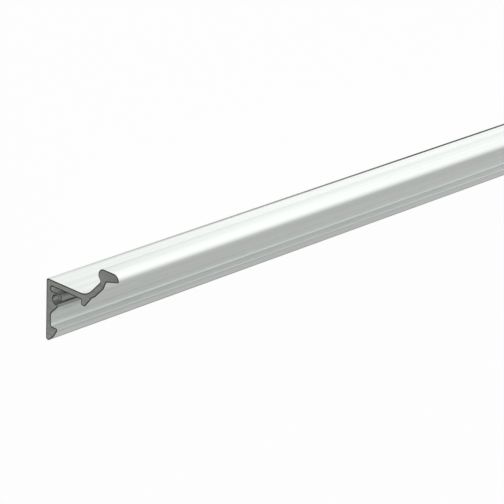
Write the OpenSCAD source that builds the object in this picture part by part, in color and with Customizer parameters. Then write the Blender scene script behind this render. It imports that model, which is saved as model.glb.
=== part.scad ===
// Aluminium extrusion profile: a wall rail with a barbed foot, a screw port, a shelf and a hooked head.
// One piece of stock, lying on its flat back, which is the face that goes against a wall.
// The section is drawn as it hangs in use: first number = forward from the back, second = up from the foot.
// On the floor, X runs along the stock, Y is the section's up, and Z is the section's forward.
// All sizes are in millimetres, all angles in degrees.

/* [Stock] */
// Length of the piece
length = 1000; // [50:10:6000]
// Thickness of the web and of the shelf
wall = 3; // [2:0.1:4]

/* [Foot] */
// Height of the flat top of the foot's barb
foot_height = 7.3; // [5.5:0.1:10]
// How far the barb stands out from the web
barb_reach = 4.2; // [3:0.1:6]
// Height of the barb's upright nose
barb_nose = 1.2; // [0.8:0.1:2]
// How far the barb's slanted underside bellies out of a straight line
barb_belly = 0.63; // [0.3:0.01:0.9]
// Width of the sole below the web
sole_width = 1.7; // [1.2:0.1:2.4]

/* [Clip recess and screw port] */
// Height of the plain web between the barb and the lug
clip_gap = 6; // [3:0.1:12]
// Rise of the lug's slanted underside
lug_rise = 4.25; // [3:0.05:6]
// Bore of the open screw port
port_diameter = 4.2; // [3:0.1:6]
// Wall between the port and the web, and of the port's two jaws
port_wall = 1.3; // [0.9:0.1:2]
// Where the port's mouth begins and ends, as angles above the level
mouth_low = -66; // [-80:1:-50]
mouth_high = 11; // [0:1:20]
// Gap between the port and the shelf
slot_gap = 2.15; // [1.2:0.05:6]

/* [Shelf and arm] */
// Distance from the back to where the tops of the shelf and the arm would meet in a sharp corner
shelf_depth = 25.8; // [19:0.1:60]
// Radius of the valley that rounds this corner
valley_radius = 10; // [4:0.5:14]
// Thickness of the arm
arm_wall = 3.3; // [2.4:0.1:4.2]

/* [Rib under the shelf] */
// Distance from the valley's corner back to the rib's upright side
rib_set = 3.4; // [3:0.1:5]
// Drop of the rib below the shelf
rib_drop = 2.7; // [2:0.1:6]
// Width of the rib's tip
rib_width = 2.4; // [2:0.1:4]
// Place of the shoulder where the rib's slanted side ends, along the arm and into it
shoulder_run = 1.9; // [1:0.1:3]
shoulder_set = 0.6; // [0.3:0.1:0.9]

/* [Head] */
// Height of the head's flat top above the shelf
head_rise = 15.3; // [12:0.1:20]
// Distance from the valley's corner to the front of the head
head_run = 19.8; // [16:0.1:26]
// Width of the head from back to front
head_width = 12.6; // [10.5:0.1:16]
// Depth of the head's back, which overhangs the shelf
crown_depth = 4.2; // [3:0.1:5]
// Depth of the head's front lip
lip_depth = 3.4; // [2.5:0.1:5]
// Slope of the lip's underside
lip_angle = 15; // [0:1:20]
// Place of the notch below the crown: forward of the head's back, and below the crown
notch_run = 1.7; // [1.4:0.1:2.6]
notch_drop = 1.8; // [1.4:0.1:2.6]
// How far back along the arm the neck begins, and how much steeper than the arm it is
neck_back = 1; // [0.5:0.1:2]
neck_lean = 21; // [10:1:30]

/* [Radii] */
// Outer edges of the web
edge_radius = 1.2; // [0.4:0.1:1.5]
// Inner corners at the web
inner_radius = 0.9; // [0.4:0.1:1.2]
// Fine edges of the barb, the jaw, the shoulder and the lip
fine_radius = 0.4; // [0.2:0.05:0.6]
// Soft edges of the lug, the rib and the crown
soft_radius = 0.8; // [0.4:0.1:1]
// Bends of the arm, the neck and the notch
neck_radius = 1.3; // [0.6:0.1:1.8]
// Belly of the barb
belly_radius = 5; // [2:0.5:8]
// Flare from the web into the lug
flare_radius = 2; // [1:0.1:4]
// Front and back of the head's top
nose_radius = 3; // [1:0.1:4.5]
crown_radius = 3.2; // [1:0.1:4]

/* [Hidden] */
$fn = 96;
// Each arc is this much too large, so that it crosses its straight neighbours instead of only touching them
overlap = 0.0002;

// Up the web, from the foot to the shelf
barb_front = wall + barb_reach;
lug_root = foot_height + clip_gap;
lug_bottom = lug_root + lug_rise;
port_radius = port_diameter / 2;
port_height = lug_bottom + port_wall + port_radius;
jaw_top = port_height + port_radius + port_wall;
shelf_under = jaw_top + slot_gap;
shelf_height = shelf_under + wall;
head_height = shelf_height + head_rise;

// Forward from the web, around the port
port_reach = wall + port_wall + port_radius;
lug_front = port_reach + port_radius * cos(mouth_low);
jaw_end = port_height + port_radius * sin(mouth_high);
jaw_front = port_reach + port_radius + port_wall;

// The head, and the notch behind it that the arm runs into
head_front = shelf_depth + head_run;
head_back = head_front - head_width;
crown = [head_back, head_height - crown_depth];
notch = crown + [notch_run, -notch_drop];
lip = [head_front, head_height - lip_depth];

// The arm runs from the valley to the notch, and its underside lies one arm wall below
valley = [shelf_depth, shelf_height];
arm_angle = atan2(notch[1] - valley[1], notch[0] - valley[0]);
along = heading(arm_angle);
across = heading(arm_angle - 90);
arm_under = valley + arm_wall * across;
shoulder = arm_under + shoulder_run * along - shoulder_set * across;
shoulder_end = arm_under + (shoulder_run + 4 * shoulder_set) * along;
neck = notch + arm_wall * across - neck_back * along;

// The rib's tip
rib_back = shelf_depth - rib_set;
rib_bottom = shelf_under - rib_drop;

// The barb's underside, from the sole to the nose, with its belly in the middle
sole = [sole_width, 0];
barb_low = [barb_front, foot_height - barb_nose];
belly = (sole + barb_low) / 2 + barb_belly * unit([barb_low[1] - sole[1], sole[0] - barb_low[0]]);

// The large roundings, limited by the faces that they round
sole_round = min(edge_radius, sole_width - fine_radius);
nose_round = min(nose_radius, lip_depth - fine_radius);
crown_round = min(crown_radius, crown_depth - soft_radius / 2);

// The outline, anticlockwise: each corner as [[forward, up], radius].
corners = [
    [[0, 0], sole_round],
    [sole, fine_radius],
    [belly, belly_radius],
    [barb_low, soft_radius],
    [[barb_front, foot_height], fine_radius],
    [[wall, foot_height], inner_radius],
    [[wall, lug_root], flare_radius],
    [[lug_front, lug_bottom], soft_radius],
    // Mouth of the port: the corner between its two jaws lies inside the bore
    [[lug_front, jaw_end], 0],
    [[jaw_front, jaw_end], fine_radius],
    [[jaw_front, jaw_top], soft_radius + port_wall / 2],
    [[wall, jaw_top], inner_radius / 2],
    [[wall, shelf_under], inner_radius],
    [[rib_back, shelf_under], inner_radius / 2],
    [[rib_back, rib_bottom], soft_radius],
    [[rib_back + rib_width, rib_bottom], soft_radius],
    [shoulder, fine_radius],
    [shoulder_end, neck_radius],
    [neck, neck_radius],
    [meet(neck, arm_angle + neck_lean, lip, lip_angle), neck_radius],
    [lip, fine_radius],
    [[head_front, head_height], nose_round],
    [[head_back, head_height], crown_round],
    [crown, soft_radius],
    [notch, neck_radius],
    [valley, valley_radius],
    [[0, shelf_height], edge_radius]
];
count = len(corners);

function heading(angle) = [cos(angle), sin(angle)];
function unit(v) = v / norm(v);
// Where the line through p at angle a crosses the line through q at angle b
function meet(p, a, q, b) = p + heading(a) * cross(q - p, heading(b)) / cross(heading(a), heading(b));

function corner(i) = corners[i % count][0];
function radius(i) = corners[i][1];
// Directions into and out of corner i, and the turn between them: to the left is positive
function dir_in(i) = unit(corner(i) - corner(i + count - 1));
function dir_out(i) = unit(corner(i + 1) - corner(i));
function turn(i) = atan2(cross(dir_in(i), dir_out(i)), dir_in(i) * dir_out(i));
// Distance from the corner to where its arc begins and ends
function set_back(i) = radius(i) * tan(abs(turn(i)) / 2);
function arc_start(i) = corner(i) - dir_in(i) * set_back(i);
function arc_end(i) = corner(i) + dir_out(i) * set_back(i);
function arc_centre(i) = arc_start(i) + sign(turn(i)) * radius(i) * [-dir_in(i)[1], dir_in(i)[0]];

// The part of a circle that rounds corner i, from its centre to its arc
module sector(i) {
    r = radius(i);
    to_corner = corner(i) - arc_centre(i);
    half = abs(turn(i)) / 2 + sqrt(6 * overlap / r) * 180 / PI;
    translate(arc_centre(i))
        rotate(atan2(to_corner[1], to_corner[0]))
            intersection() {
                circle(r + overlap);
                polygon([[0, 0], 2 * r * heading(-half), [2 * r, 0], 2 * r * heading(half)]);
            }
}

// The section: straight sides first, then outer roundings added, and inner roundings and the port cut
module section() {
    rounded = [for (i = [0:count - 1]) if (radius(i) > 0) i];
    difference() {
        union() {
            polygon([for (i = [0:count - 1]) each radius(i) > 0 ? [arc_start(i), arc_end(i)] : [corner(i)]]);
            for (i = rounded)
                if (turn(i) > 0)
                    sector(i);
        }
        for (i = rounded)
            if (turn(i) < 0)
                sector(i);
        translate([port_reach, port_height])
            circle(port_radius);
    }
}

module profile() {
    color("silver")
        translate([0, -head_height / 2, 0])
            rotate([0, -90, 0])
                linear_extrude(height = length, center = true)
                    section();
}

profile();
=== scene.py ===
# %% [markdown]
# # A length of extruded aluminium rail
#
# This lesson dresses one piece of raw stock: a metre of extruded aluminium that hangs on a wall by its
# flat back. Aluminium is pushed hot through a steel die, so the same section runs along the whole bar,
# with faint lengthwise lines where the die dragged on it. Then a saw cuts the bar to length.
# The measured solid is loaded first, and every size that the solid already knows is read from it.

import bpy
import numpy as np
from mathutils import Matrix, Vector


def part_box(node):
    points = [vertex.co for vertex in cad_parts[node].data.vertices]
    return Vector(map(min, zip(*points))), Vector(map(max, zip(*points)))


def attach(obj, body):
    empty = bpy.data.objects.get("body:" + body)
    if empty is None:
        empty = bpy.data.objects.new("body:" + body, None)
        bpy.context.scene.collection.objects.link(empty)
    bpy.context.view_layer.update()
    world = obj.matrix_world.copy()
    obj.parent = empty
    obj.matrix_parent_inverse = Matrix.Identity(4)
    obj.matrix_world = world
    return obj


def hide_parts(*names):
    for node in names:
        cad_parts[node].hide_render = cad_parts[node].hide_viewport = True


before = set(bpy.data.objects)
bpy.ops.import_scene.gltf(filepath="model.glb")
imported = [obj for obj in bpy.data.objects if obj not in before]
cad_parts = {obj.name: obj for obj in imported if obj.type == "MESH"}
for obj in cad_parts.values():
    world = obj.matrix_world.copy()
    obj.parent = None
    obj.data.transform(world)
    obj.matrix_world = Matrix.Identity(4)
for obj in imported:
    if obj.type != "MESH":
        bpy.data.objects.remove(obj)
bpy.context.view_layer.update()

MM = 0.001
bar_low, bar_high = (np.array(corner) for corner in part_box("profile"))
_, section_height, section_depth = bar_high - bar_low
print("bar", np.round((bar_high - bar_low) / MM, 2), "mm")

# %% [markdown]
# ## The section
#
# The section is drawn as the rail hangs: `u` runs forward from the back and `v` runs up from the foot.
# A die maker draws it as straight sides that meet in corners, and gives each corner a radius.
# The loaded solid has the same corners, but its arcs are coarse, because a whole metre was meshed at once.
# So the outline is worked out again here with fine arcs, which keep the reflections smooth.
# All values in this cell are in millimetres.

# %% Sizes of the section, up the web and around the screw port
wall = 3.0
foot_height, barb_reach, barb_nose, barb_belly, sole_width = 7.3, 4.2, 1.2, 0.63, 1.7
clip_gap, lug_rise = 6.0, 4.25
port_wall, port_radius = 1.3, 2.1
mouth_low, mouth_high = np.radians([-66.0, 11.0])
barb_front = wall + barb_reach
lug_root = foot_height + clip_gap
lug_bottom = lug_root + lug_rise
port = np.array([wall + port_wall + port_radius, lug_bottom + port_wall + port_radius])
lug_front = port[0] + port_radius * np.cos(mouth_low)
jaw_end = port[1] + port_radius * np.sin(mouth_high)
jaw_front = port[0] + port_radius + port_wall
jaw_top = port[1] + port_radius + port_wall

# %% Sizes of the shelf, the rib, the arm and the head
head_rise, head_run, head_width = 15.3, 19.8, 12.6
crown_depth, lip_depth, notch_run, notch_drop = 4.2, 3.4, 1.7, 1.8
rib_set, rib_drop, rib_width = 3.4, 2.7, 2.4
arm_wall, shoulder_run, shoulder_set, neck_back = 3.3, 1.9, 0.6, 1.0
lip_slope, neck_lean = np.radians([15.0, 21.0])
head_front, head_top = section_depth / MM, section_height / MM
shelf_top = head_top - head_rise
shelf_under = shelf_top - wall
valley = np.array([head_front - head_run, shelf_top])
rib_back, rib_bottom = valley[0] - rib_set, shelf_under - rib_drop
head_back = head_front - head_width
crown = np.array([head_back, head_top - crown_depth])
notch = crown + [notch_run, -notch_drop]
lip = np.array([head_front, head_top - lip_depth])
arm_slope = np.arctan2(*(notch - valley)[::-1])
neck_slope = arm_slope + neck_lean
along = np.array([np.cos(arm_slope), np.sin(arm_slope)])
across = np.array([np.sin(arm_slope), -np.cos(arm_slope)])
arm_under = valley + arm_wall * across
shoulder = arm_under + shoulder_run * along - shoulder_set * across
shoulder_end = arm_under + (shoulder_run + 4 * shoulder_set) * along
neck = notch + arm_wall * across - neck_back * along
print("arm slope", round(float(np.degrees(arm_slope)), 2), "degrees, port at", np.round(port, 2), "mm")


# %% Corners of the outline
def crossing(p, a, q, b):
    """Where the line through p at angle a meets the line through q at angle b: p + s (cos a, sin a),
    with s chosen so that the rest of the way to q has no part across b."""
    way = np.array([np.cos(a), np.sin(a)])
    side = np.array([-np.sin(b), np.cos(b)])
    return p + way * np.dot(q - p, side) / np.dot(way, side)


edge, inner, fine, soft, bend = 1.2, 0.9, 0.4, 0.8, 1.3
belly_round, flare_round, nose_round, crown_round, valley_round = 5.0, 2.0, 3.0, 3.2, 10.0
sole = np.array([sole_width, 0.0])
barb_low = np.array([barb_front, foot_height - barb_nose])
barb_run = barb_low - sole
belly = (sole + barb_low) / 2 + barb_belly * np.array([barb_run[1], -barb_run[0]]) / np.hypot(*barb_run)
outline_corners = [
    ((0, 0), edge),
    (sole, fine),
    (belly, belly_round),
    (barb_low, soft),
    ((barb_front, foot_height), fine),
    ((wall, foot_height), inner),
    ((wall, lug_root), flare_round),
    ((lug_front, lug_bottom), soft),
    ((lug_front, jaw_end), 0.0),
    ((jaw_front, jaw_end), fine),
    ((jaw_front, jaw_top), soft + port_wall / 2),
    ((wall, jaw_top), inner / 2),
    ((wall, shelf_under), inner),
    ((rib_back, shelf_under), inner / 2),
    ((rib_back, rib_bottom), soft),
    ((rib_back + rib_width, rib_bottom), soft),
    (shoulder, fine),
    (shoulder_end, bend),
    (neck, bend),
    (crossing(neck, neck_slope, lip, lip_slope), bend),
    (lip, fine),
    ((head_front, head_top), nose_round),
    ((head_back, head_top), crown_round),
    (crown, soft),
    (notch, bend),
    (valley, valley_round),
    ((0, shelf_top), edge),
]
mouth_corner = 8
corner_points = np.array([point for point, _ in outline_corners], float)
corner_radii = np.array([radius for _, radius in outline_corners])
print(len(corner_points), "corners")


# %% Arcs of the outline
def left_of(v):
    """Each 2-D vector turned a quarter turn to the left: (x, y) becomes (-y, x)."""
    return np.stack([-v[:, 1], v[:, 0]], axis=1)


def corner_arcs(points, radii):
    """One arc per corner of a closed outline, as centre, radius, first angle and sweep.
    A corner that turns by t is cut back by r tan(|t|/2), and the arc's centre lies r to the left of that
    point on a left turn, and r to the right on a right turn. The sweep is the turn itself."""
    way_in = points - np.roll(points, 1, axis=0)
    way_in /= np.linalg.norm(way_in, axis=1)[:, None]
    way_out = np.roll(way_in, -1, axis=0)
    turn = np.arctan2(np.sum(left_of(way_in) * way_out, axis=1), np.sum(way_in * way_out, axis=1))
    reach = radii * np.tan(np.abs(turn) / 2)
    spoke = np.sign(turn)[:, None] * left_of(way_in)
    centre = points - way_in * reach[:, None] + spoke * radii[:, None]
    first = np.arctan2(-spoke[:, 1], -spoke[:, 0])
    return np.column_stack([centre, radii, first, turn])


PORT_ARCS = 3
port_sweep = (mouth_high - mouth_low - 2 * np.pi) / PORT_ARCS
port_starts = mouth_low + port_sweep * np.arange(PORT_ARCS)
port_arcs = np.array([[*port, port_radius, start, port_sweep] for start in port_starts])
arcs = corner_arcs(corner_points, corner_radii)
arcs = np.concatenate([arcs[:mouth_corner], port_arcs, arcs[mouth_corner + 1:]])
print(len(arcs), "arcs")


# %% Points and normals of the outline
def sample_arcs(arcs, steps):
    """Points and outward normals along every arc: centre + r (cos a, sin a), for a from first to
    first + sweep. The normal is the spoke, turned inwards where the sweep is negative, in a hollow."""
    share = np.linspace(0, 1, steps)
    angle = arcs[:, 3:4] + arcs[:, 4:5] * share
    spoke = np.stack([np.cos(angle), np.sin(angle)], axis=-1)
    points = arcs[:, None, :2] + arcs[:, 2, None, None] * spoke
    normals = np.sign(arcs[:, 4])[:, None, None] * spoke
    owner = np.repeat(np.arange(len(arcs)), steps)
    return points.reshape(-1, 2), normals.reshape(-1, 2), owner


ARC_STEPS = 15
points, point_normals, owner = sample_arcs(arcs, ARC_STEPS)
keep = np.linalg.norm(np.roll(points, -1, axis=0) - points, axis=1) > 1e-6
points, point_normals, owner = points[keep], point_normals[keep], owner[keep]
count = len(points)

following = np.roll(np.arange(count), -1)
step_out = points[following] - points
step_length = np.linalg.norm(step_out, axis=1)
side_normals = -left_of(step_out) / step_length[:, None]
on_port = (owner >= mouth_corner) & (owner < mouth_corner + PORT_ARCS)
curved = (owner == owner[following]) | (on_port & on_port[following])
start_normals = np.where(curved[:, None], point_normals, side_normals)
end_normals = np.where(curved[:, None], point_normals[following], side_normals)
run = np.concatenate([[0], np.cumsum(step_length)])
print(count, "outline points, girth", round(float(run[-1]), 1), "mm")

# %% [markdown]
# ## The bar
#
# The bar is the outline carried along X. On the floor, the section's `v` is row Y and its `u` is row Z.
# A saw leaves a sharp edge, which the cutter breaks with a file: a hair of bevel runs round both ends, and
# the file leaves a narrow rim on the end face. The outline steps in by the bevel and then by the rim along
# its own normals, less at tight and sharp corners, and the end face closes the last ring.
# The normals are set one by one: flat across the straight sides, turning round the arcs.

# %% Rings and faces of the bar
BEVEL, RIM = 0.1, 0.55
SHARP, TIP_SHARE, ARC_SHARE = 1.1, 0.6, 0.95
before = np.roll(np.arange(count), 1)
mitre = start_normals + end_normals[before]
mitre /= np.linalg.norm(mitre, axis=1)[:, None]
stretch = 1 / np.sum(mitre * start_normals, axis=1)
mitre *= stretch[:, None]
room = np.where(arcs[owner, 4] > 0, ARC_SHARE * arcs[owner, 2], RIM)
from_tip = np.abs(run[:-1, None] - run[:-1][stretch > SHARP]).min(axis=1)
rim_step = np.minimum(room, np.clip(TIP_SHARE * from_tip, 1.2 * BEVEL, RIM))
inset, rim = points - BEVEL * mitre, points - rim_step[:, None] * mitre
x_low, x_high = bar_low[0] / MM, bar_high[0] / MM
rings = [(x_low, rim), (x_low, inset), (x_low + BEVEL, points),
         (x_high - BEVEL, points), (x_high, inset), (x_high, rim)]


def in_row(x, section):
    """Section points (u, v) at station x as row points in metres: X = x, Y = v - height / 2, Z = u."""
    return np.column_stack([np.full(len(section), x), section[:, 1] - head_top / 2, section[:, 0]]) * MM


vertices = np.concatenate([in_row(x, section) for x, section in rings])
near, far = np.arange(count), following
quads = np.concatenate([
    np.column_stack([near, near + count, far + count, far]) + ring * count
    for ring in range(len(rings) - 1)
])
low_end = list(range(count))
high_end = list(range(len(vertices) - 1, len(vertices) - 1 - count, -1))


# %% Mesh of the bar
def turned(section_normals, outward, along_x):
    """Row normals: a share of the section's own normals (u, v) plus a share along X, made unit length."""
    share = np.full(len(section_normals), along_x)
    row = np.column_stack([share, outward * section_normals[:, 1], outward * section_normals[:, 0]])
    return row / np.linalg.norm(row, axis=1)[:, None]


bar_mesh = bpy.data.meshes.new("rail")
bar_mesh.from_pydata(vertices.tolist(), [], [*quads.tolist(), low_end, high_end])
bar_mesh.polygons.foreach_set("use_smooth", np.ones(len(bar_mesh.polygons), bool))

quad_normals = []
for shares in ((0.0, -1.0), (1.0, -1.0), (1.0, 0.0), (1.0, 1.0), (0.0, 1.0)):
    a, b = turned(start_normals, *shares), turned(end_normals, *shares)
    quad_normals.append(np.stack([a, a, b, b], axis=1).reshape(-1, 3))
end_rows = [np.tile([x, 0.0, 0.0], (count, 1)) for x in (-1.0, 1.0)]
bar_mesh.normals_split_custom_set(np.concatenate(quad_normals + end_rows).tolist())
print(len(bar_mesh.vertices), "vertices", len(bar_mesh.polygons), "faces")

# %% [markdown]
# ## A map of the surface
#
# Die lines run along the bar and differ from one side of the section to the next. So the surface gets a map
# of its own: one axis is the place along the bar, the other the way round the section, both in metres.
# Object coordinates would do for one flat side, but a map follows the arcs as well.
# Three finishes meet on the bar: drawn metal along it, filed metal on bevels and rims, and sawn metal on
# the ends.

# %% Surface map and slots
stations = np.array([x for x, _ in rings])
quad_runs = []
for k in range(len(rings) - 1):
    corner_x = np.tile(stations[[k, k + 1, k + 1, k]], (count, 1))
    corner_run = np.column_stack([run[:-1], run[:-1], run[1:], run[1:]])
    quad_runs.append(np.stack([corner_x, corner_run], axis=-1).reshape(-1, 2))
cap_runs = np.concatenate([rim, rim[::-1]])
run_map = bar_mesh.uv_layers.new(name="run")
run_map.data.foreach_set("uv", (np.concatenate(quad_runs + [cap_runs]) * MM).ravel())

DRAWN, FILED, SAWN = range(3)
slots = np.concatenate([np.repeat([FILED, FILED, DRAWN, FILED, FILED], count), [SAWN, SAWN]])
bar_mesh.polygons.foreach_set("material_index", slots)
bar_mesh.validate()
bar_mesh.update()
print("faces drawn, filed and sawn:", np.bincount(slots).tolist())

# %% [markdown]
# ## Painted shade and highlight
#
# Shade is painted into the metal's colour along parts of the outline: in the screw port and on its jaws,
# above and under the barb, along the sole and behind the head.
# The barb's top gets a painted highlight instead, which fades through the fillet at its root into a little
# painted shade on the web.
# They could be painted on the map, but the corners of the section already say where these places are.
# So each side of the outline gets a tone at its start and its end: 1 for plain metal, less for painted
# shade, more for the painted highlight.

# %% Tones of the outline
SOLE_EDGE, BARB_UNDER, BARB_TOP, BARB_ROOT, LUG_TIP = 1, 3, 4, 5, mouth_corner - 1
JAW_TIP, JAW_TOP = mouth_corner + PORT_ARCS, mouth_corner + PORT_ARCS + 1
HEAD_FRONT, HEAD_BACK = len(arcs) - 6, len(arcs) - 5
# Tones under 1 are painted shade and tones over 1 a painted highlight, both multiplied into the metal's
# colour
PAINTED_SHEEN, PLAIN_TONE, EDGE_TONE, ROOT_TONE, PAINTED_SHADE = 1.05, 1.0, 0.94, 0.90, 0.84
SOLE_TONE, PORT_TONE, JAW_TONE = 0.75, 0.68, 0.55
ROOT_SHEEN_SHARE = 0.4
tone = np.full((count, 2), PLAIN_TONE)
tone[owner == SOLE_EDGE] = SOLE_TONE
tone[(owner == BARB_UNDER) & curved] = PAINTED_SHADE
tone[(owner == BARB_TOP) & curved] = EDGE_TONE
tone[(owner == BARB_TOP) & ~curved] = PAINTED_SHEEN
root = np.flatnonzero((owner == BARB_ROOT) & curved)
fade = np.interp(np.linspace(0, 1, len(root) + 1), [ROOT_SHEEN_SHARE, 1.0], [PAINTED_SHEEN, ROOT_TONE])
tone[root] = np.column_stack([fade[:-1], fade[1:]])
tone[(owner == BARB_ROOT) & ~curved] = ROOT_TONE, PLAIN_TONE
tone[(owner == LUG_TIP) | (owner == JAW_TIP) | ((owner == JAW_TOP) & curved)] = JAW_TONE
tone[on_port & curved] = PORT_TONE
tone[(owner == HEAD_FRONT) & ~curved] = PLAIN_TONE, PAINTED_SHADE
tone[(owner == HEAD_BACK) & curved] = PAINTED_SHADE

quad_tones = np.tile(np.repeat(tone, 2, axis=1).ravel(), len(rings) - 1)
tone_layer = bar_mesh.attributes.new("tone", "FLOAT", "CORNER")
tone_layer.data.foreach_set("value", np.concatenate([quad_tones, np.ones(2 * count)]))
print("dull sides of the outline:", int(np.sum(tone.min(axis=1) < PLAIN_TONE)), "of", count)

# %% [markdown]
# ## Finishes
#
# Mill finish aluminium is left as it comes off the press: a bare metal, satin because the die and the
# handling leave it slightly rough, with lengthwise die lines. One noise, drawn out along the bar on the
# surface map, moves the tone, the gloss and a slight relief together, as a scratch does on the real thing.
# A painted shadow line follows the shelf's back edge, where the back lies on the floor, and deepens along
# the bar.


# %% Helpers for materials
def linear(hex_colour):
    """An sRGB hex colour as linear RGBA: c / 12.92 up to 0.04045, ((c + 0.055) / 1.055) ** 2.4 above."""
    srgb = np.array([int(hex_colour[i:i + 2], 16) for i in (1, 3, 5)]) / 255
    rgb = np.where(srgb <= 0.04045, srgb / 12.92, ((srgb + 0.055) / 1.055) ** 2.4)
    return (*rgb.tolist(), 1.0)


def add(tree, kind, links=(), values=(), stops=(), **settings):
    """Adds one node: settings are its properties, values its sockets' numbers, links the sockets fed to it,
    and stops the places and colours of a colour ramp, in rising order."""
    node = tree.nodes.new(kind)
    for name, setting in settings.items():
        setattr(node, name, setting)
    for socket, value in dict(values).items():
        node.inputs[socket].default_value = value
    for socket, source in dict(links).items():
        tree.links.new(source, node.inputs[socket])
    for k, (place, colour) in enumerate(stops):
        elements = node.color_ramp.elements
        stop = elements[k] if k < len(elements) else elements.new(place)
        stop.position = place
        stop.color = colour
    return node


def new_material(name):
    """An empty node material with its output, as material, tree and output node."""
    material = bpy.data.materials.new(name)
    material.use_nodes = True
    material.node_tree.nodes.clear()
    return material, material.node_tree, add(material.node_tree, "ShaderNodeOutputMaterial")


# %% Mill finish aluminium: its die lines
# Bare extruded metal: a bright satin that takes its tone from what is around it, with faint long streaks.
# Real die lines are about 0.1 mm apart, so they are drawn 4 mm wide here to show at all.
LINE_LENGTH, LINE_WIDTH = 400 * MM, 4 * MM
mill, tree, output = new_material("mill_finish_aluminium")
surface_map = add(tree, "ShaderNodeUVMap", uv_map="run")
stretched = add(tree, "ShaderNodeMapping", {"Vector": surface_map.outputs["UV"]},
                {"Scale": (1 / LINE_LENGTH, 1 / LINE_WIDTH, 1.0)})
lines = add(tree, "ShaderNodeTexNoise", {"Vector": stretched.outputs["Vector"]},
            {"Scale": 1.0, "Detail": 4.0, "Roughness": 0.6}, noise_dimensions="2D")
shade = add(tree, "ShaderNodeValToRGB", {"Fac": lines.outputs["Fac"]},
            stops=[(0.3, linear("#ecf0ed")), (0.7, linear("#f9fdfa"))])
satin = add(tree, "ShaderNodeMapRange", {"Value": lines.outputs["Fac"]},
            {"From Min": 0.3, "From Max": 0.7, "To Min": 0.31, "To Max": 0.37})
relief = add(tree, "ShaderNodeBump", {"Height": lines.outputs["Fac"]},
             {"Strength": 0.05, "Distance": 0.05 * MM})
print("die lines", LINE_WIDTH / MM, "mm wide")

# %% Mill finish aluminium: its painted shade and highlight, and its painted shadow line
# A mix node has several sockets of one name, so its colour sockets are found by their place
DULL_ROUGHNESS = 0.5
# Painted shadow: a near-black line within a few millimetres of the shelf's back edge, faint at the near end
# and full further along
EDGE_SHADOW_NEAR, EDGE_SHADOW_FAR = 1.8 * MM, 2.4 * MM
EDGE_SHADOW_START, EDGE_SHADOW_FULL = float(bar_low[0]), float(bar_low[0]) + 0.25
EDGE_SHADOW_THIN = 0.06
top_edge_run = float(run[:-1][owner == len(arcs) - 1].mean()) * MM
# The tone attribute scales the colour: painted shade under 1, a painted highlight over 1. Painted shade
# also adds roughness
painted_tone = add(tree, "ShaderNodeAttribute", attribute_name="tone")
toned = add(tree, "ShaderNodeVectorMath", {0: shade.outputs["Color"], "Scale": painted_tone.outputs["Fac"]},
            operation="SCALE")
rougher = add(tree, "ShaderNodeMapRange", {"Value": painted_tone.outputs["Fac"]},
              {"From Min": 0.0, "From Max": 1.0, "To Min": DULL_ROUGHNESS, "To Max": 0.0})
rough = add(tree, "ShaderNodeMath", {0: satin.outputs["Result"], 1: rougher.outputs["Result"]},
            operation="ADD")
runs = add(tree, "ShaderNodeSeparateXYZ", {"Vector": surface_map.outputs["UV"]})
apart = add(tree, "ShaderNodeMath", {0: runs.outputs["Y"]}, {1: top_edge_run}, operation="SUBTRACT")
apart = add(tree, "ShaderNodeMath", {0: apart.outputs["Value"]}, operation="ABSOLUTE")
along_bar = add(tree, "ShaderNodeMapRange", {"Value": runs.outputs["X"]},
                {"From Min": EDGE_SHADOW_START, "From Max": EDGE_SHADOW_FULL, "To Min": EDGE_SHADOW_THIN, "To Max": 1.0})
edge_shadow = add(tree, "ShaderNodeMapRange",
            {"Value": apart.outputs["Value"], "To Min": along_bar.outputs["Result"]},
            {"From Min": EDGE_SHADOW_NEAR, "From Max": EDGE_SHADOW_FAR, "To Max": 0.0})
MIX_FROM, MIX_TO, MIX_RESULT = 6, 7, 2
colour = add(tree, "ShaderNodeMix", {"Factor": edge_shadow.outputs["Result"], MIX_FROM: toned.outputs["Vector"]},
             {MIX_TO: linear("#101110")}, data_type="RGBA")
metal = add(tree, "ShaderNodeBsdfPrincipled",
            {"Base Color": colour.outputs[MIX_RESULT], "Roughness": rough.outputs["Value"],
             "Normal": relief.outputs["Normal"]},
            {"Metallic": 1.0})
tree.links.new(metal.outputs["BSDF"], output.inputs["Surface"])
print("grime within", EDGE_SHADOW_FAR / MM, "mm of the shelf's back edge")

# %% [markdown]
# ## Cut metal
#
# A circular saw leaves a grey face with fine marks across the section. They could be cut into the mesh, but
# they are finer than a pixel, so a drawn-out noise gives their tone and relief. The edge is filed by hand,
# and its colour is darker than the sawn face, so it draws a thin outline round the end.


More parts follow.
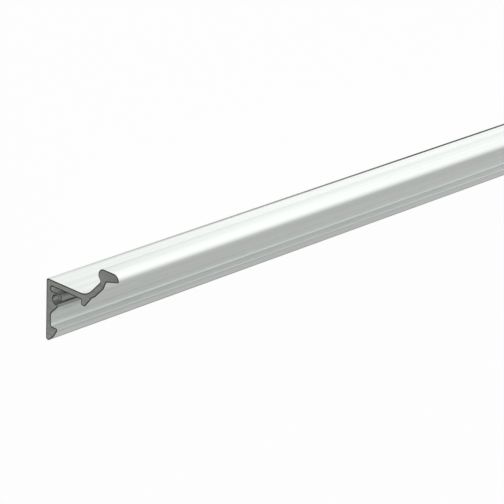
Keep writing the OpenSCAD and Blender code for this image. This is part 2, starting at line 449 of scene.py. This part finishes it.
# %% Sawn and filed aluminium
def cut_metal(name, dark, light, roughness):
    """Cut metal with marks of the tool: tone and relief follow one noise drawn out across the section.
    Its colour darkens evenly from the back to the head.
    Real marks are about 0.2 mm apart, so they are drawn 0.7 mm wide here to show at all."""
    mark_width, mark_length, mark_turn = 0.7 * MM, 14 * MM, 0.35
    # Colour scale at the back and at the head: darker towards the head
    back_level, head_level = 1.05, 0.62
    material, tree, output = new_material(name)
    place = add(tree, "ShaderNodeTexCoord")
    marks = add(tree, "ShaderNodeMapping", {"Vector": place.outputs["Object"]},
                {"Scale": (1.0, 1 / mark_width, 1 / mark_length), "Rotation": (mark_turn, 0.0, 0.0)})
    cuts = add(tree, "ShaderNodeTexNoise", {"Vector": marks.outputs["Vector"]},
               {"Scale": 1.0, "Detail": 2.0})
    cut_tone = add(tree, "ShaderNodeValToRGB", {"Fac": cuts.outputs["Fac"]},
                   stops=[(0.3, linear(dark)), (0.7, linear(light))])
    parts = add(tree, "ShaderNodeSeparateXYZ", {"Vector": place.outputs["Object"]})
    back_to_head = add(tree, "ShaderNodeMapRange", {"Value": parts.outputs["Z"]},
                {"From Min": 0.0, "From Max": float(section_depth),
                 "To Min": back_level, "To Max": head_level})
    graded_cut = add(tree, "ShaderNodeVectorMath",
                  {0: cut_tone.outputs["Color"], "Scale": back_to_head.outputs["Result"]}, operation="SCALE")
    scored = add(tree, "ShaderNodeBump", {"Height": cuts.outputs["Fac"]},
                 {"Strength": 0.1, "Distance": 0.03 * MM})
    cut = add(tree, "ShaderNodeBsdfPrincipled",
              {"Base Color": graded_cut.outputs["Vector"], "Normal": scored.outputs["Normal"]},
              {"Metallic": 0.8, "Roughness": roughness})
    tree.links.new(cut.outputs["BSDF"], output.inputs["Surface"])
    return material


# Sawn aluminium: a matt mid grey with fine slanting marks, which mirrors almost nothing
sawn_metal = cut_metal("sawn_aluminium", "#aeb0ac", "#c4c6c2", 0.55)
# Filed aluminium: dark and matt, a thin outline between the bright sides and the grey end
filed_metal = cut_metal("filed_edge_aluminium", "#4a4b49", "#545553", 0.6)
print("cut metals:", sawn_metal.name, filed_metal.name)

# %% The bar as an object
for finish in (mill, filed_metal, sawn_metal):
    bar_mesh.materials.append(finish)
rail = bpy.data.objects.new("rail", bar_mesh)
bpy.context.scene.collection.objects.link(rail)
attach(rail, "root")
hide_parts("profile")
print(rail.name, "with", len(bar_mesh.materials), "finishes")

# %% [markdown]
# ## The camera
#
# The camera's directions come from the picture: the bar's long edges meet in one far point, and the web's
# back edge and the shelf's edge fix the rest. They are written here in the row's own axes.
# One point of the bar, the lowest back corner of its near end, is pinned to its place in the picture.

# %% Camera
PICTURE = 504
LENS, SENSOR = 171.28, 36.0
pixels_per_depth = PICTURE * LENS / SENSOR
view = np.array([0.6803, -0.3768, -0.6287])
up_hint = np.array([0.2462, 0.9254, -0.2883])
view /= np.linalg.norm(view)
right = np.cross(view, up_hint)
right /= np.linalg.norm(right)
up = np.cross(right, view)
pinned = np.array([bar_low[0], bar_low[1] - 0.3 * MM, 0.0])
pinned_pixel = np.array([45.9, 339.7])
pinned_depth = 1.0612
offset = (pinned_pixel - PICTURE / 2) / pixels_per_depth * pinned_depth
eye = pinned - pinned_depth * view - offset[0] * right + offset[1] * up

camera_data = bpy.data.cameras.new("camera")
camera_data.lens = LENS
camera_data.sensor_width = SENSOR
camera_data.clip_start = 0.05
camera_data.clip_end = 60.0
camera = bpy.data.objects.new("camera", camera_data)
axes = Matrix(np.column_stack([right, up, -view]).tolist()).to_4x4()
camera.matrix_world = Matrix.Translation(Vector(eye)) @ axes
bpy.context.scene.collection.objects.link(camera)
bpy.context.scene.camera = camera
print("camera at", np.round(eye, 3))

# %% [markdown]
# ## Floor and light
#
# Bare metal has little tone of its own: each face shows what it mirrors. The shelf and the head's top
# mirror the floor beyond the shelf, the arm's underside mirrors the floor before the foot, and the web
# mirrors the sky. A photographer sets white and grey cards around such a thing. Here the plain floor does
# the same: for mirrored rays it glows, bright beyond the shelf and dim before the foot, and less at the
# near end. To the camera it is almost white, and it keeps a faint shadow of the bar.

# %% Floor as the camera sees it
# White paper: matt and even, with a soft faint shadow
FLOOR_HALF = 12.0
floor_mesh = bpy.data.meshes.new("floor")
floor_corners = [(-FLOOR_HALF, -FLOOR_HALF, 0), (FLOOR_HALF, -FLOOR_HALF, 0),
                 (FLOOR_HALF, FLOOR_HALF, 0), (-FLOOR_HALF, FLOOR_HALF, 0)]
floor_mesh.from_pydata(floor_corners, [], [(0, 1, 2, 3)])
floor = bpy.data.objects.new("floor", floor_mesh)
bpy.context.scene.collection.objects.link(floor)

WHITE = (1.0, 1.0, 1.0, 1.0)
CAMERA_GLOW = 0.97
pale, tree, output = new_material("white_paper_floor")
paper = add(tree, "ShaderNodeBsdfDiffuse", values={"Color": linear("#f4f4f2")})
path = add(tree, "ShaderNodeLightPath")
seen = add(tree, "ShaderNodeMath", {0: path.outputs["Is Camera Ray"]}, {1: CAMERA_GLOW},
           operation="MULTIPLY")
seen_glow = add(tree, "ShaderNodeEmission", values={"Color": WHITE, "Strength": 1.0})
seen_floor = add(tree, "ShaderNodeMixShader", {0: seen.outputs["Value"], 1: paper.outputs["BSDF"],
                                               2: seen_glow.outputs["Emission"]})
floor_mesh.materials.append(pale)
print("floor", 2 * FLOOR_HALF, "m square")

# %% Floor as the metal mirrors it
# Places across the bar in millimetres, each with its share of the glow
GRADE_HALF = 300.0
GLOW_NEAR, GLOW_FAR = 1.08, 1.19
GLOW_START, GLOW_FULL = float(bar_low[0]) + 0.03, float(bar_low[0]) + 0.15
foot_line, shelf_line = -head_top / 2, shelf_top - head_top / 2
mirror_grade = [
    (foot_line - 25.0, 0.0),
    (foot_line - 12.0, 0.10),
    (foot_line - 5.0, 0.27),
    (foot_line - 2.0, 0.05),
    (shelf_line, 0.0),
    (shelf_line + 1.5, 1.0),
    (shelf_line + 4.0, 0.78),
    (shelf_line + 8.0, 0.58),
    (shelf_line + 14.0, 0.50),
    (shelf_line + 30.0, 1.0),
    (shelf_line + 60.0, 1.0),
    (shelf_line + 100.0, 0.75),
    (shelf_line + 170.0, 0.75),
    (shelf_line + 250.0, 1.0),
]
spot = add(tree, "ShaderNodeTexCoord")
spot_parts = add(tree, "ShaderNodeSeparateXYZ", {"Vector": spot.outputs["Object"]})
across_bar = add(tree, "ShaderNodeMapRange", {"Value": spot_parts.outputs["Y"]},
                 {"From Min": -GRADE_HALF * MM, "From Max": GRADE_HALF * MM})
grade = add(tree, "ShaderNodeValToRGB", {"Fac": across_bar.outputs["Result"]},
            stops=[(0.5 + place / (2 * GRADE_HALF), (share, share, share, 1.0))
                   for place, share in mirror_grade])
mirrored = add(tree, "ShaderNodeMath",
               {0: path.outputs["Is Glossy Ray"], 1: path.outputs["Is Transmission Ray"]},
               operation="MAXIMUM")
mirrored = add(tree, "ShaderNodeMath", {0: mirrored.outputs["Value"], 1: grade.outputs["Color"]},
               operation="MULTIPLY")
glow = add(tree, "ShaderNodeMapRange", {"Value": spot_parts.outputs["X"]},
           {"From Min": GLOW_START, "From Max": GLOW_FULL, "To Min": GLOW_NEAR, "To Max": GLOW_FAR})
mirror_glow = add(tree, "ShaderNodeEmission", {"Strength": glow.outputs["Result"]}, {"Color": WHITE})
mixed = add(tree, "ShaderNodeMixShader", {0: mirrored.outputs["Value"], 1: seen_floor.outputs["Shader"],
                                          2: mirror_glow.outputs["Emission"]})
tree.links.new(mixed.outputs["Shader"], output.inputs["Surface"])
print(len(mirror_grade), "steps across the mirrored floor")

# %% Sky
# Levels by the sky's direction across the bar, from the foot's side, -1, to the shelf's side, +1.
# The sky is dimmer on the near end's side, so that the cut end stays grey.
SIDE_FULL, SIDE_DIM = 0.6, 0.4
sky_levels = [
    (-1.0, 0.60),
    (-0.6, 0.56),
    (-0.4, 0.44),
    (-0.28, 0.56),
    (-0.16, 0.72),
    (0.0, 0.82),
    (0.36, 1.05),
    (0.8, 1.27),
    (1.0, 0.60),
]
sky = bpy.data.worlds.new("sky")
sky.use_nodes = True
tree = sky.node_tree
tree.nodes.clear()
sky_output = add(tree, "ShaderNodeOutputWorld")
sky_way = add(tree, "ShaderNodeTexCoord")
sky_parts = add(tree, "ShaderNodeSeparateXYZ", {"Vector": sky_way.outputs["Generated"]})
sky_across = add(tree, "ShaderNodeMapRange", {"Value": sky_parts.outputs["Y"]},
                 {"From Min": -1.0, "From Max": 1.0})
sky_bands = add(tree, "ShaderNodeValToRGB", {"Fac": sky_across.outputs["Result"]},
                stops=[((y + 1) / 2, (level, level, level, 1.0)) for y, level in sky_levels])
sky_side = add(tree, "ShaderNodeMapRange", {"Value": sky_parts.outputs["X"]},
               {"From Min": 0.0, "From Max": SIDE_FULL, "To Min": SIDE_DIM, "To Max": 1.0})
sky_grade = add(tree, "ShaderNodeMath", {0: sky_bands.outputs["Color"], 1: sky_side.outputs["Result"]},
                operation="MULTIPLY")
sky_path = add(tree, "ShaderNodeLightPath")
sky_level = add(tree, "ShaderNodeMix",
                {"Factor": sky_path.outputs["Is Camera Ray"], "A": sky_grade.outputs["Value"]}, {"B": 1.0})
sky_light = add(tree, "ShaderNodeBackground", {"Strength": sky_level.outputs["Result"]}, {"Color": WHITE})
tree.links.new(sky_light.outputs["Background"], sky_output.inputs["Surface"])
bpy.context.scene.world = sky
print(len(sky_levels), "levels across the sky")

# %% Key light
# A broad soft light from behind the shelf gives the floor its faint shadow
key_place, key_aim = Vector((-1.6, 2.2, 1.2)), Vector((-0.2, 0.0, 0.0))
key_data = bpy.data.lights.new("key_light", "AREA")
key_data.shape = "RECTANGLE"
key_data.size, key_data.size_y = 1.5, 0.8
key_data.energy = 20.0
key_light = bpy.data.objects.new("key_light", key_data)
key_light.location = key_place
key_light.rotation_euler = (key_aim - key_place).to_track_quat("-Z", "Y").to_euler()
key_light.visible_camera = False
bpy.context.scene.collection.objects.link(key_light)
bpy.context.scene.view_settings.view_transform = "Standard"
print("key light", key_data.energy, "W at", tuple(round(c, 2) for c in key_place))
